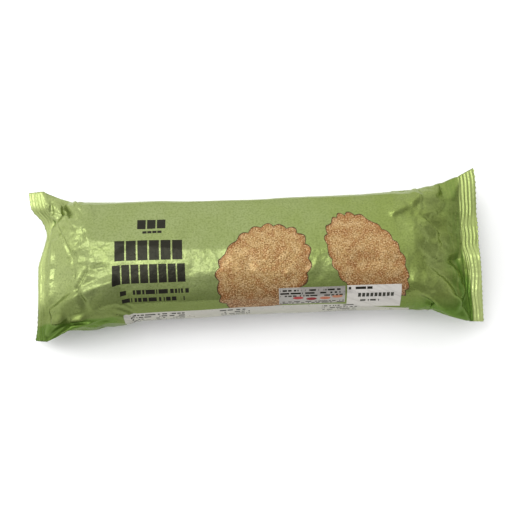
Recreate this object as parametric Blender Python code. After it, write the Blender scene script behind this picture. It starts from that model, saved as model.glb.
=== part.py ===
# A sealed flow-wrapped pack of biscuits, lying on its back, as one solid.
# X runs along the pack, -Y is the side nearest the viewer, +Z is up, and the origin is the
# middle of the footprint. The film is one tube: flat crimped seals close its two ends, and
# between them it wraps the stack of biscuits. Each ring of points runs once round the tube,
# over the front sheet from the far edge to the near edge and back under the pack.

import math

import bmesh
import bpy
import numpy as np

MM = 0.001

# The stack of biscuits under the film, in millimetres
BODY_HEIGHT = 48.5
BODY_LEFT_X = -93.0
BODY_RIGHT_X = 86.0
MID_HEIGHT = 23.5          # height of the pack's widest line
ROUNDNESS = 2.2            # 2 is an ellipse, more is squarer
FACETING = 0.5             # 0 is a smooth outline, 1 is flat facets between the creases
LEAN = 0.28                # the last biscuits on the left lean: x for each millimetre of y
LEAN_LENGTH = 30.0         # over this length of the stack

# Half widths of the stack on each side, at places along X
FAR_SIDE = ((-93.0, 35.0), (-60.0, 34.2), (-30.0, 33.0), (20.0, 33.1), (60.0, 33.3), (86.0, 34.4))
NEAR_SIDE = ((-93.0, 38.3), (-86.0, 37.0), (-78.0, 36.0), (-30.0, 35.2), (10.0, 34.5), (86.0, 35.5))

# The two side edges of the slack film between the stack and the seals: x, y
FAR_EDGE = (
    (-126.0, 43.0),
    (-114.0, 38.9),
    (-103.0, 34.8),
    (91.0, 36.0),
    (106.0, 38.3),
    (119.0, 42.6),
)
NEAR_EDGE = (
    (-126.0, -44.5),
    (-103.0, -40.5),
    (-88.0, -37.6),
    (97.0, -36.2),
    (103.0, -39.6),
    (119.0, -43.2),
)
EDGE_SHARE = 0.3           # share of a sheet's width that moves with its side edge

# The film and its end seals
SEAL_LENGTH = 92.0         # flat width of the tube
SEAL_WIDTH = 10.5
SEAL_THICKNESS = 1.0
CRIMP_RIDGES = 4
CRIMP_DEPTH = 0.45
TOOTH_DEPTH = 0.9
SHEET_STEPS = 44           # points across one sheet of the tube

# The long seam on the back, pressed flat under the pack
SEAM_HALF_STEPS = 3
SEAM_GROOVE = 0.8

# Towards a seal the film closes into a flat strip, as this power of the way along
CLOSING_POWER = 1.25

# Long creases in the front sheet: where each crosses the left and the right end, as y
CREASES = (
    (30.0, 29.0),
    (5.0, 2.4),
    (-13.0, 0.5),
    (-29.0, -28.0),
)

# The seals, from the far corner (0) to the near corner (1) of the tube: place along the seal,
# x of its inner edge, y, height, how steeply it points down, and its turn towards the far side
LEFT_SEAL = (
    (0.00, -125.6, 42.3, 27.0, 25.0, 4.0),
    (0.12, -124.0, 32.0, 26.0, 22.0, 0.0),
    (0.20, -118.0, 26.0, 21.5, 30.0, 0.0),
    (0.27, -122.0, 20.0, 21.0, 70.0, 0.0),
    (0.48, -125.2, 0.0, 23.0, 58.0, 0.0),
    (0.75, -125.6, -23.0, 21.0, 60.0, 0.0),
    (0.90, -125.6, -36.0, 17.0, 52.0, 0.0),
    (1.00, -125.6, -44.5, 12.0, 38.0, 12.0),
)
RIGHT_SEAL = (
    (0.00, 118.3, 42.0, 26.0, -6.0, 26.0),
    (0.08, 118.0, 36.0, 25.5, -4.0, 8.0),
    (0.28, 117.6, 18.0, 24.5, 12.0, 0.0),
    (0.34, 117.2, 12.5, 24.5, -4.0, 0.0),
    (0.50, 117.0, -1.0, 25.0, 8.0, 0.0),
    (0.56, 116.8, -6.0, 25.5, -6.0, 0.0),
    (0.82, 117.9, -28.0, 22.0, 16.0, 0.0),
    (1.00, 118.6, -43.0, 18.0, 20.0, 0.0),
)

# Tucks and dents: sheet (1 front, -1 back), x, y, half length, half width, turn, depth inwards
DENTS = (
    (1, -107.0, 31.0, 7.0, 3.5, 60.0, 3.6),
    (1, -112.0, 22.0, 9.0, 3.0, 40.0, 1.6),
    (1, -100.0, 2.0, 14.0, 3.5, 45.0, 1.6),
    (1, -103.0, -10.0, 14.0, 3.5, 45.0, 1.6),
    (1, -104.0, -24.0, 13.0, 4.0, 45.0, 2.0),
    (1, -96.0, -34.0, 10.0, 4.0, 25.0, 1.6),
    (1, 95.0, 29.0, 6.0, 3.0, -50.0, 2.0),
    (1, 103.0, 24.0, 9.0, 3.5, 70.0, 2.2),
    (1, 99.0, 4.0, 13.0, 4.0, -52.0, 1.6),
    (1, 103.0, -14.0, 16.0, 3.5, -48.0, 1.8),
    (1, 98.0, -33.0, 6.0, 3.0, -20.0, 1.8),
    (-1, -104.0, 10.0, 12.0, 5.0, 50.0, 2.4),
    (-1, -102.0, -16.0, 12.0, 5.0, -40.0, 2.0),
    (-1, 102.0, -12.0, 12.0, 5.0, 40.0, 2.4),
    (-1, 103.0, 18.0, 12.0, 5.0, -45.0, 2.0),
)

# How finely the shape is drawn
OUTLINE_STEPS = 360        # in half an outline, before its points are spread evenly
CURVE_STEPS = 200          # along a seal, before its curves are rounded off
ROUNDING = 12              # of those steps, to each side
TAPER_ROWS = 9
LEANING_ROWS = 3
BODY_ROWS = 6
CREASE_ANGLE = 35.0        # edges sharper than this are shown as creases

FILM_GREEN = (0.30, 0.40, 0.10, 1.0)
FILM_ROUGHNESS = 0.35
FILM_METALLIC = 0.6


def smooth(t):
    """Eases from 0 to 1 with no kink at either end."""
    t = np.clip(t, 0.0, 1.0)
    return t * t * (3.0 - 2.0 * t)


def body_outline(x):
    """Front and back halves of the outline over the biscuits, each from +Y to -Y."""
    along = (x - BODY_LEFT_X) / (BODY_RIGHT_X - BODY_LEFT_X)
    far, near = (np.interp(x, *zip(*side)) for side in (FAR_SIDE, NEAR_SIDE))
    rise = BODY_HEIGHT - MID_HEIGHT
    angle = np.linspace(0.0, math.pi, OUTLINE_STEPS + 1)
    half_width = np.where(angle < math.pi / 2, far, near)
    y = half_width * np.sign(np.cos(angle)) * np.abs(np.cos(angle)) ** (2 / ROUNDNESS)
    z = rise * np.sin(angle) ** (2 / ROUNDNESS)
    corners = [left + (right - left) * along for left, right in CREASES]
    corners = np.array([far, *corners, -near])
    flat = np.interp(-y, -corners, np.interp(-corners, -y, z))
    front = np.column_stack([y, MID_HEIGHT + z + FACETING * (flat - z)])
    back = np.column_stack([y, np.maximum(MID_HEIGHT - z, 0.0)])
    return front, back


def leaned(x, y):
    """Where points of an upright slice stand once the last biscuits on the left lean."""
    return x - LEAN * y * smooth(1.0 - (x - BODY_LEFT_X) / LEAN_LENGTH)


def by_length(outline, count):
    """Points spread evenly along an outline."""
    steps = np.linalg.norm(np.diff(outline, axis=0), axis=1)
    run = np.concatenate([[0.0], np.cumsum(steps)])
    wanted = np.linspace(0.0, run[-1], count + 1)
    return np.column_stack([np.interp(wanted, run, outline[:, i]) for i in (0, 1)])


def seal_frame(table, side, spread):
    """Inner edge of a seal, the way that it points, and its upward normal."""
    place, *columns = (np.array(column) for column in zip(*table))
    # A fine curve through the table, rounded off a little
    fine = np.linspace(0.0, 1.0, CURVE_STEPS + 1)
    kernel = np.hanning(2 * ROUNDING + 1)
    kernel /= kernel.sum()
    rounded = []
    for values in columns:
        padded = np.pad(np.interp(fine, place, values), ROUNDING, mode="reflect", reflect_type="odd")
        rounded.append(np.interp(spread, fine, np.convolve(padded, kernel, mode="valid")))
    x, y, z, tilt, turn = rounded
    down, turn = np.radians(tilt)[:, None], np.radians(turn)[:, None]
    level = np.hstack([side * np.cos(turn), np.sin(turn), 0.0 * turn])
    upright = np.array([[0.0, 0.0, 1.0]])
    point = level * np.cos(down) - upright * np.sin(down)
    normal = level * np.sin(down) + upright * np.cos(down)
    return np.column_stack([x, y, z]), point, normal


def flattened(half, closing, count):
    """One sheet between the body and a seal: a shrunken body outline round a flat strip."""
    spread = np.linspace(0.0, 1.0, count + 1)
    share = (1.0 - closing) / 2
    strip = closing * SEAL_LENGTH
    whole = by_length(half, OUTLINE_STEPS)
    grid = np.linspace(0.0, 1.0, OUTLINE_STEPS + 1)
    if closing < 1.0:
        place = np.where(spread < 0.5, spread, 1.0 - spread) / (1.0 - closing)
    else:
        place = np.full_like(spread, 0.5)
    place = np.minimum(place, 0.5)
    place = np.where(spread < 0.5, place, 1.0 - place)
    y = np.interp(place, grid, whole[:, 0]) * (1.0 - closing)
    z = (np.interp(place, grid, whole[:, 1]) - MID_HEIGHT) * (1.0 - closing)
    inside = np.clip(spread, share, 1.0 - share)
    return y + strip / 2 - (inside - share) * SEAL_LENGTH, z


def ring_from(front, back):
    """One closed ring of points from the two sheets, which share their edge points."""
    return np.vstack([front, back[-2:0:-1]])


def body_ring(x):
    """A ring over the biscuits."""
    sheets = [by_length(half, SHEET_STEPS) for half in body_outline(x)]
    return ring_from(*[np.column_stack([leaned(x, sheet[:, 0]), sheet]) for sheet in sheets])


def pulled_sides(sheet, spread):
    """Moves a slack sheet's two side edges, and the film beside them, onto their lines."""
    far = np.interp(sheet[0, 0], *zip(*FAR_EDGE))
    near = np.interp(sheet[-1, 0], *zip(*NEAR_EDGE))
    far_pull = (far - sheet[0, 1]) * smooth(1.0 - spread / EDGE_SHARE)
    near_pull = (near - sheet[-1, 1]) * smooth(1.0 - (1.0 - spread) / EDGE_SHARE)
    sheet[:, 1] += far_pull + near_pull


def taper_ring(table, side, t):
    """A ring between the last biscuit (t = 0) and the inner edge of a seal (t = 1)."""
    body_x = BODY_RIGHT_X if side > 0 else BODY_LEFT_X
    spread = np.linspace(0.0, 1.0, SHEET_STEPS + 1)
    edge, _, normal = seal_frame(table, side, spread)
    sheets = []
    for sign, half in zip((1, -1), body_outline(body_x)):
        y, z = flattened(half, t**CLOSING_POWER, SHEET_STEPS)
        x = leaned(body_x, by_length(half, SHEET_STEPS)[:, 0])
        x += (edge[:, 0] - x) * t
        y = y + (edge[:, 1] - SEAL_LENGTH * (0.5 - spread)) * smooth(t)
        z = z + MID_HEIGHT + (edge[:, 2] - MID_HEIGHT) * smooth(t)
        sheet = np.column_stack([x, y, z]) + normal * (sign * SEAL_THICKNESS / 2 * t)
        if t < 1.0:
            pulled_sides(sheet, spread)
        sheets.append(sheet)
    front, back = sheets
    for end in (0, -1):
        front[end] = back[end] = (front[end] + back[end]) / 2
    return ring_from(front, back)


def seal_ring(table, side, across, ridge, toothed):
    """A ring round a seal, at a share of its width, raised by a crimp ridge."""
    spread = np.linspace(0.0, 1.0, SHEET_STEPS + 1)
    edge, point, normal = seal_frame(table, side, spread)
    reach = np.full(SHEET_STEPS + 1, across * SEAL_WIDTH)
    if toothed:
        reach[1::2] -= TOOTH_DEPTH
    middle = edge + point * reach[:, None] + normal * (ridge * CRIMP_DEPTH)
    half = normal * SEAL_THICKNESS / 2
    front, back = middle + half, middle - half
    for end in (0, -1):
        front[end] = back[end] = middle[end]
    return ring_from(front, back)


def seal_rings(table, side):
    """The rings of a seal from its inner edge outwards, up and down over the crimp ridges."""
    count = 2 * CRIMP_RIDGES
    rings = []
    for i in range(1, count + 1):
        ridge = 1.0 if i % 2 else -1.0
        rings.append(seal_ring(table, side, i / count, ridge if i < count else 0.0, i == count))
    return rings


def dented(ring):
    """Presses the tucks and dents into a ring of the film."""
    ring = ring.copy()
    front = np.arange(len(ring)) <= SHEET_STEPS
    for sheet, x, y, length, width, turn, depth in DENTS:
        turn = math.radians(turn)
        dx, dy = ring[:, 0] - x, ring[:, 1] - y
        along = (dx * math.cos(turn) + dy * math.sin(turn)) / length
        across = (dy * math.cos(turn) - dx * math.sin(turn)) / width
        press = depth * np.exp(-along**2) * (1.0 - smooth(np.abs(across) / 2))
        on_sheet = front if sheet > 0 else ~front
        ring[:, 2] -= sheet * press * on_sheet
    return ring


def pressed_seam(ring):
    """Sinks the two edges of the long back seam into the film."""
    ring = ring.copy()
    middle = SHEET_STEPS + SHEET_STEPS // 2
    for edge in (middle - SEAM_HALF_STEPS, middle + SEAM_HALF_STEPS):
        ring[edge, 2] += SEAM_GROOVE
    return ring


def pack_rings():
    """Every ring of the film, from the left seal's teeth to the right seal's."""
    tapers = np.linspace(0.0, 1.0, TAPER_ROWS + 1)[1:]
    lean_end = BODY_LEFT_X + LEAN_LENGTH
    leaning = np.linspace(BODY_LEFT_X, lean_end, LEANING_ROWS + 1)
    body = [*leaning, *np.linspace(lean_end, BODY_RIGHT_X, BODY_ROWS + 1)[1:]]
    left_seal = seal_rings(LEFT_SEAL, -1)[::-1]
    right_seal = seal_rings(RIGHT_SEAL, 1)
    left = [dented(pressed_seam(taper_ring(LEFT_SEAL, -1, t))) for t in tapers[::-1]]
    right = [dented(pressed_seam(taper_ring(RIGHT_SEAL, 1, t))) for t in tapers]
    middle = [dented(pressed_seam(body_ring(x))) for x in body]
    return left_seal + left + middle + right + right_seal


def add_cap(mesh, ring):
    """Closes the tube across a seal's toothed edge, from sheet to sheet."""
    last = len(ring)
    for i in range(SHEET_STEPS):
        corners = [ring[i], ring[i + 1], ring[(last - i - 1) % last], ring[(last - i) % last]]
        unique = list(dict.fromkeys(corners))
        if len(unique) > 2:
            mesh.faces.new(unique)


def build_pack(rings):
    """Skins the rings into one closed solid."""
    mesh = bmesh.new()
    rows = [[mesh.verts.new(point * MM) for point in ring] for ring in rings]
    for one, two in zip(rows, rows[1:]):
        for i in range(len(one)):
            j = (i + 1) % len(one)
            mesh.faces.new((one[i], one[j], two[j], two[i]))
    add_cap(mesh, rows[0])
    add_cap(mesh, rows[-1])
    bmesh.ops.recalc_face_normals(mesh, faces=mesh.faces)
    data = bpy.data.meshes.new("pack")
    mesh.to_mesh(data)
    mesh.free()
    pack = bpy.data.objects.new("pack", data)
    bpy.context.scene.collection.objects.link(pack)
    data.shade_smooth()
    data.set_sharp_from_angle(angle=math.radians(CREASE_ANGLE))
    return pack


def film_material():
    material = bpy.data.materials.new("green_film")
    material.use_nodes = True
    shader = material.node_tree.nodes["Principled BSDF"]
    shader.inputs["Base Color"].default_value = FILM_GREEN
    shader.inputs["Roughness"].default_value = FILM_ROUGHNESS
    shader.inputs["Metallic"].default_value = FILM_METALLIC
    return material


def centred(rings):
    """Moves the rings so that the origin is the middle of the footprint, at its base."""
    points = np.vstack(rings)
    low, high = points.min(axis=0), points.max(axis=0)
    middle = np.array([(low[0] + high[0]) / 2, (low[1] + high[1]) / 2, low[2]])
    return [ring - middle for ring in rings]


def main():
    for obj in list(bpy.data.objects):
        bpy.data.objects.remove(obj, do_unlink=True)
    pack = build_pack(centred(pack_rings()))
    pack.data.materials.append(film_material())


main()
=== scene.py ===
import math

import bpy
import numpy as np
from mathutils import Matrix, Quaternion, Vector


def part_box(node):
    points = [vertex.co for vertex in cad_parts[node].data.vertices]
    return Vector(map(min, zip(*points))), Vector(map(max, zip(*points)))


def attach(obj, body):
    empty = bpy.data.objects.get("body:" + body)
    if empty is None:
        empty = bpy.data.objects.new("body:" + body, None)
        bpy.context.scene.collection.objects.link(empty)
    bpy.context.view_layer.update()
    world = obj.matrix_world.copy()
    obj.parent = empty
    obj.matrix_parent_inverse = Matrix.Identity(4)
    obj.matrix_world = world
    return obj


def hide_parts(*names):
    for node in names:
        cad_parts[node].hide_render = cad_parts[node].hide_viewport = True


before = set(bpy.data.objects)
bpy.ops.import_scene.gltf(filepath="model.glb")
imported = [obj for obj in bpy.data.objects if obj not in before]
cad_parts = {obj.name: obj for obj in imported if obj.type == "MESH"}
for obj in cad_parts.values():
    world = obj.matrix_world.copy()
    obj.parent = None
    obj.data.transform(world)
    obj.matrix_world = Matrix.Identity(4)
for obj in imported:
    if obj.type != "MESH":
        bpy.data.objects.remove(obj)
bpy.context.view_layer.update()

mm = 0.001
girth = 190.0    # round the film

stack = {
    "height": 48.5,
    "leftX": -93.0,
    "rightX": 86.0,
    "lean": (0.28, 30.0),    # the biscuits at the left end lean: x for each y, and over what length
    "midHeight": 23.5,       # height of the widest line
    # x, half width
    "farSide": ((-93, 35.0), (-60, 34.2), (-30, 33.0), (20, 33.1), (60, 33.3), (86, 34.4)),
    "nearSide": ((-93, 38.3), (-86, 37.0), (-78, 36.0), (-30, 35.2), (10, 34.5), (50, 34.5), (86, 35.5)),
    "roundness": 2.2,        # 2 is an ellipse, more is squarer
    "faceting": 0.5,         # 0 is smooth, 1 is flat facets between the long creases
    # The long creases: y of each one at each of these x
    "creaseX": (-93.0, -41.0, 0.0, 38.0, 86.0),
    "creases": (
        (30.0, 29.7, 29.5, 29.3, 29.0),
        (7.2, -1.3, -2.8, -3.8, -4.3),
        (-6.0, -10.0, -5.6, -6.2, -7.0),
        (-19.0, -16.5, -15.5, -16.5, -17.0),
        (-29.0, -28.7, -28.5, -28.3, -28.0),
    ),
    "flattening": 1.25,      # how late the tube flattens on its way to a seal, 1 is evenly
    "outlinePoints": 721,    # of half an outline, before it is cut into even steps
    "cutPoints": 801,        # of half an outline that is on its way to a seal
}

endSeals = {
    "length": 92.0,
    "width": 10.5,
    "thickness": 0.5,
    "ridges": 5,
    "rowsPerRidge": 5,
    "ridgeHeight": 0.32,
    "ridgeShares": (0.5, 1.3),   # lowest and highest ridge, as shares of that height
    "uneven": 0.6,           # share by which a ridge's height varies along it
    "wander": 0.5,           # share of a ridge's width by which its line strays
    "strayPoints": 25,       # along a seal, over which both change
    "outerFrom": 0.6,        # from this share of the width outwards the ridges are lower
    "outerFade": 0.15,
    "outerShare": 0.3,       # down to this share
    "seed": 5,
    "toothDepth": 0.8,
    "toothColumns": 4,
    "linePoints": 401,       # along a seal's line
    "rounding": 49,          # how many of them it is smoothed over
    # From the far corner of the tube to the near one: place along the seal, x of its inner edge,
    # y, height, how steeply it points down, and its turn towards the far side
    "left": (
        (0.00, -125.6, 42.3, 27.0, 25.0, 4.0),
        (0.12, -124.0, 32.0, 26.0, 22.0, 0.0),
        (0.20, -118.0, 26.0, 21.5, 30.0, 0.0),
        (0.27, -122.0, 20.0, 21.0, 70.0, 0.0),
        (0.48, -125.2, 0.0, 23.0, 58.0, 0.0),
        (0.75, -125.6, -23.0, 21.0, 60.0, 0.0),
        (0.90, -125.6, -36.0, 17.0, 52.0, 0.0),
        (1.00, -125.6, -44.5, 12.0, 38.0, 12.0),
    ),
    "right": (
        (0.00, 118.3, 42.0, 26.0, -6.0, 26.0),
        (0.08, 118.0, 36.0, 25.5, -4.0, 8.0),
        (0.28, 117.6, 18.0, 24.5, 12.0, 0.0),
        (0.34, 117.2, 12.5, 24.5, -4.0, 0.0),
        (0.50, 117.0, -1.0, 25.0, 8.0, 0.0),
        (0.56, 116.8, -6.0, 25.5, -6.0, 0.0),
        (0.82, 117.9, -28.0, 22.0, 16.0, 0.0),
        (1.00, 118.6, -43.0, 18.0, 20.0, 0.0),
    ),
}

settling = {
    # Columns round the tube, and rows over the stack, in each taper and in each seal
    "coarseGrid": (32, 20, 7, 2),
    "steps": (400, 250, 160),        # at each of the three grids, coarse to fine
    "noise": (2.5, 0.12, 0.04),      # how much the film is nudged at first, on each grid
    "noiseOnStack": 0.12,            # share of the nudge over the biscuits
    "seed": 13,
    "lengthShare": (75, 85),         # percentile of the path lengths that the flat film has, left and right
    "pressure": (0.0005, 0.0002),    # at first and later
    "pressureTurn": 0.6,             # later is after this share of the steps
    "damping": 0.93,
    "sidePull": 0.15,                # how strongly the two sides follow the limits below
    "memoryBody": 0.15,              # pull towards the wrapped shape, over the biscuits
    "shear": 0.5,
    "foldStiffness": 0.5,
    "foldKeep": 0.995,
    "creaseAt": 0.08,                # past this much folding the film creases and gives up
    "creaseEase": 0.4,               # it begins to this share of that before
    "curve": 0.5,                    # how far new points follow a smooth curve, 0 is flat facets
    "gap": 0.5,                      # between the two sheets near a seal
    # The film is pulled straight along its two sides, so its slack folds inwards: x, y
    "farLimit": (
        (-126, 43.0), (-114, 38.9), (-103, 34.8), (-97, 35.6), (91, 36.0), (100, 36.8), (106, 38.3),
        (118, 42.6), (127, 46.0),
    ),
    "nearLimit": (
        (-134, -45.5), (-117, -43.1), (-103, -40.0), (-94, -39.0), (-88, -37.6), (97, -36.2),
        (103, -39.6), (108, -41.6), (117, -43.1), (128, -44.0),
    ),
}


def smooth(t):
    t = np.clip(t, 0.0, 1.0)
    return t * t * (3.0 - 2.0 * t)


def stackOutline(x):
    # Front and back halves of the outline over the biscuits, each from +Y to -Y
    far, near = (np.interp(x, *zip(*stack[side])) for side in ("farSide", "nearSide"))
    rise = stack["height"] - stack["midHeight"]
    angle = np.linspace(0.0, math.pi, stack["outlinePoints"])
    halfWidth = np.where(angle < math.pi / 2, far, near)
    y = halfWidth * np.sign(np.cos(angle)) * np.abs(np.cos(angle)) ** (2 / stack["roundness"])
    z = rise * np.sin(angle) ** (2 / stack["roundness"])
    corners = [np.interp(x, stack["creaseX"], line) for line in stack["creases"]]
    corners = np.array([far, *corners, -near])
    flat = np.interp(-y, -corners, np.interp(-corners, -y, z))
    front = np.column_stack([y, stack["midHeight"] + z + stack["faceting"] * (flat - z)])
    back = np.column_stack([y, np.maximum(stack["midHeight"] - z, 0.0)])
    return front, back


def byLength(outline, count):
    # The same outline in steps of one length
    steps = np.linalg.norm(np.diff(outline, axis=0), axis=1)
    run = np.concatenate([[0.0], np.cumsum(steps)])
    wanted = np.linspace(0.0, run[-1], count + 1)
    return np.column_stack([np.interp(wanted, run, outline[:, i]) for i in (0, 1)])


def sealLine(side, spread):
    # Inner edge of a seal, the way that it points and its upward normal
    place, *values = (np.array(column) for column in zip(*endSeals["left" if side < 0 else "right"]))
    fine = np.linspace(0.0, 1.0, endSeals["linePoints"])
    kernel = np.hanning(endSeals["rounding"])
    kernel /= kernel.sum()
    rounded = []
    for value in values:
        value = np.interp(fine, place, value)
        padded = np.pad(value, len(kernel) // 2, mode="reflect", reflect_type="odd")
        rounded.append(np.interp(spread, fine, np.convolve(padded, kernel, mode="valid")))
    x, y, z, tilt, turn = rounded
    down, turn = np.radians(tilt)[:, None], np.radians(turn)[:, None]
    level = np.hstack([side * np.cos(turn), np.sin(turn), 0 * turn])
    upright = np.array([[0.0, 0.0, 1.0]])
    point = level * np.cos(down) - upright * np.sin(down)
    normal = level * np.sin(down) + upright * np.cos(down)
    return np.column_stack([x, y, z]), point, normal


def flattened(half, closing, count):
    # One sheet between the stack and a seal: a shrunken outline round a flat strip
    spread = np.linspace(0.0, 1.0, count + 1)
    share = (1.0 - closing) / 2
    grid = np.linspace(0.0, 1.0, stack["cutPoints"])
    whole = byLength(half, len(grid) - 1)
    place = np.where(spread < 0.5, spread, 1.0 - spread) / max(1.0 - closing, 1e-6)
    place = np.minimum(place, 0.5)
    place = np.where(spread < 0.5, place, 1.0 - place)
    y = np.interp(place, grid, whole[:, 0]) * (1.0 - closing)
    z = (np.interp(place, grid, whole[:, 1]) - stack["midHeight"]) * (1.0 - closing)
    inside = np.clip(spread, share, 1.0 - share)
    return y + endSeals["length"] * (closing / 2 - inside + share), z


def ringFrom(front, back):
    # One row of the tube from its two sheets, which share both edges
    return np.vstack([front, back[-2:0:-1]])


def leaned(x, y):
    lean, reach = stack["lean"]
    return x - lean * y * smooth(1.0 - (x - stack["leftX"]) / reach)


def stackRing(x, count):
    sheets = [byLength(half, count) for half in stackOutline(x)]
    return ringFrom(*[np.column_stack([leaned(x, sheet[:, 0]), sheet]) for sheet in sheets])


def taperRing(side, t, count):
    # Between the last biscuit (t = 0) and the inner edge of a seal (t = 1)
    stackX = stack["rightX"] if side > 0 else stack["leftX"]
    spread = np.linspace(0.0, 1.0, count + 1)
    edge, _, normal = sealLine(side, spread)
    sheets = []
    for sign, half in zip((1, -1), stackOutline(stackX)):
        y, z = flattened(half, t ** stack["flattening"], count)
        x = leaned(stackX, byLength(half, count)[:, 0])
        x += (edge[:, 0] - x) * t
        y = y + (edge[:, 1] - endSeals["length"] * (0.5 - spread)) * smooth(t)
        z = z + stack["midHeight"] + (edge[:, 2] - stack["midHeight"]) * smooth(t)
        sheets.append(np.column_stack([x, y, z]) + normal * (sign * endSeals["thickness"] / 2 * t))
    front, back = sheets
    for end in (0, -1):
        front[end] = back[end] = (front[end] + back[end]) / 2
    return ringFrom(front, back)


def sealRing(side, across, count, ridge=0.0, toothed=False):
    # Both sheets of a seal, pressed together, at this share of its width
    spread = np.linspace(0.0, 1.0, count + 1)
    edge, point, normal = sealLine(side, spread)
    reach = np.full(count + 1, across * endSeals["width"])
    if toothed:
        phase = (np.arange(count + 1) % endSeals["toothColumns"]) / endSeals["toothColumns"]
        reach -= endSeals["toothDepth"] * np.abs(2 * phase - 1)
    middle = edge + point * reach[:, None] + normal * ridge
    half = normal * endSeals["thickness"] / 2
    front, back = middle + half, middle - half
    for end in (0, -1):
        front[end] = back[end] = middle[end]
    return ringFrom(front, back)


def gridSize(level):
    return [count * 2**level for count in settling["coarseGrid"]]


def wrappedFilm(level):
    # The smooth shape that the film starts from, from the left seal's edge to the right one's
    around, stackRows, taperRows, sealRows = gridSize(level)
    count = around // 2
    tapers = np.linspace(0.0, 1.0, taperRows + 1)[1:]
    seals = np.linspace(0.0, 1.0, sealRows + 1)[1:]
    rows = [sealRing(-1, t, count) for t in seals[::-1]]
    rows += [taperRing(-1, t, count) for t in tapers[::-1]]
    rows += [stackRing(x, count) for x in np.linspace(stack["leftX"], stack["rightX"], stackRows + 1)]
    rows += [taperRing(1, t, count) for t in tapers]
    rows += [sealRing(1, t, count) for t in seals]
    return np.array(rows)


def flatFilm(level):
    # Where each point lies on the flat film: along the pack, and round it from the far side.
    # Over the stack it is as wrapped. At both ends it is long enough for most of its paths.
    finest = len(settling["steps"]) - 1
    rows = wrappedFilm(finest)
    columns, stackRows, taperRows, sealRows = gridSize(finest)
    ends = (sealRows + taperRows, sealRows + taperRows + stackRows)
    steps = np.linalg.norm(np.diff(rows, axis=0), axis=2)
    u = rows[:, :, 0].copy()
    for side, end, share in zip((-1, 1), ends, settling["lengthShare"]):
        taper = slice(end - taperRows, end) if side < 0 else slice(end, end + taperRows)
        sealEdge = side * np.percentile(side * u[end] + steps[taper].sum(axis=0), share)
        inTaper, inSeal = (np.linspace(0.0, 1.0, n + 1)[1:, None] for n in (taperRows, sealRows))
        tapered = u[end] + (sealEdge - u[end]) * inTaper
        sealed = sealEdge + side * endSeals["width"] * inSeal + 0 * u[end]
        if side < 0:
            u[:end] = np.vstack([tapered, sealed])[::-1]
        else:
            u[end + 1:] = np.vstack([tapered, sealed])
    widths = np.linalg.norm(np.roll(rows, -1, axis=1) - rows, axis=2)
    around = widths.sum(axis=1, keepdims=True)
    stackWidths = widths[ends[0]:ends[1] + 1]
    rowsOut = np.abs(np.arange(len(rows)) - (len(rows) - 1) / 2)
    closing = np.clip(rowsOut - stackRows / 2, 0, taperRows)[:, None] / taperRows
    shares = np.median(stackWidths / stackWidths.sum(axis=1, keepdims=True), axis=0)
    shares = shares * (1 - closing) + closing / columns
    v = np.cumsum(around * shares, axis=1) - around * shares
    skip = 2 ** (finest - level)
    return u[::skip, ::skip], v[::skip, ::skip], around[::skip]


def linkedPairs(film, free, flat):
    # Pairs of points as views of the film, each with the length that it keeps
    rowCount, columns = film.shape[1:]
    u, v, around = flat
    every = slice(None)
    links = []

    def link(rowsA, colsA, rowsB, colsB, stiffness, keep=1.0):
        freeA, freeB = free[rowsA, colsA], free[rowsB, colsB]
        total = np.maximum(freeA + freeB, 1e-9)
        shares = (stiffness * freeA / total, stiffness * freeB / total)
        across = np.abs(v[rowsA, colsA] - v[rowsB, colsB])
        across = np.minimum(across, around[rowsA] - across)
        rest = np.hypot(u[rowsA, colsA] - u[rowsB, colsB], across) * keep
        links.append((film[:, rowsA, colsA], film[:, rowsB, colsB], rest, *shares, keep < 1.0))

    lastColumn = (slice(columns - 1, columns), slice(0, 1))
    for odd in (0, 1):
        count = (rowCount - odd) // 2
        rowsA = slice(odd, odd + 2 * count - 1, 2)
        rowsB = slice(odd + 1, odd + 2 * count, 2)
        link(rowsA, every, rowsB, every, 1.0)
        for left, right in ((slice(0, columns - 1), slice(1, columns)), lastColumn):
            link(rowsA, left, rowsB, right, settling["shear"])
            link(rowsA, right, rowsB, left, settling["shear"])
    evens = (slice(0, columns, 2), slice(1, columns, 2))
    odds = (slice(1, columns - 1, 2), slice(2, columns, 2))
    for left, right in (evens, odds, lastColumn):
        link(every, left, every, right, 1.0)

    # Links across two steps resist folding
    fold = (settling["foldStiffness"], settling["foldKeep"])
    for first in range(4):
        rowsA = slice(first, rowCount - 2, 4)
        count = len(range(*rowsA.indices(rowCount)))
        rowsB = slice(first + 2, first + 4 * count - 1, 4)
        link(rowsA, every, rowsB, every, *fold)
        reach = columns - 2 if first < 2 else columns - 4
        link(every, slice(first, reach, 4), every, slice(first + 2, reach + 2, 4), *fold)
        if first > 1:
            near, far = slice(columns - 4 + first, columns - 3 + first), slice(first - 2, first - 1)
            link(every, near, every, far, *fold)
    return links


def keepLengths(links):
    # Moves each pair of points towards the length that the film has between them
    crease = settling["creaseAt"]
    easing = settling["creaseEase"] * crease
    for a, b, rest, shareA, shareB, pushOnly in links:
        apart = b - a
        gap = 1.0 - rest / np.sqrt(apart[0] ** 2 + apart[1] ** 2 + apart[2] ** 2 + 1e-12)
        if pushOnly:
            gap = np.minimum(gap, 0.0) * np.clip((gap + crease) / easing, 0.0, 1.0)
        apart *= gap
        a += shareA * apart
        b -= shareB * apart


def outward(film):
    # The film's normal at each of its points
    along = np.empty_like(film)
    along[:, 1:-1] = film[:, 2:] - film[:, :-2]
    along[:, 0] = film[:, 1] - film[:, 0]
    along[:, -1] = film[:, -1] - film[:, -2]
    around = np.roll(film, -1, axis=2) - np.roll(film, 1, axis=2)
    normal = np.cross(around, along, axis=0)
    return normal / (np.sqrt((normal**2).sum(axis=0)) + 1e-9)


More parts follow.
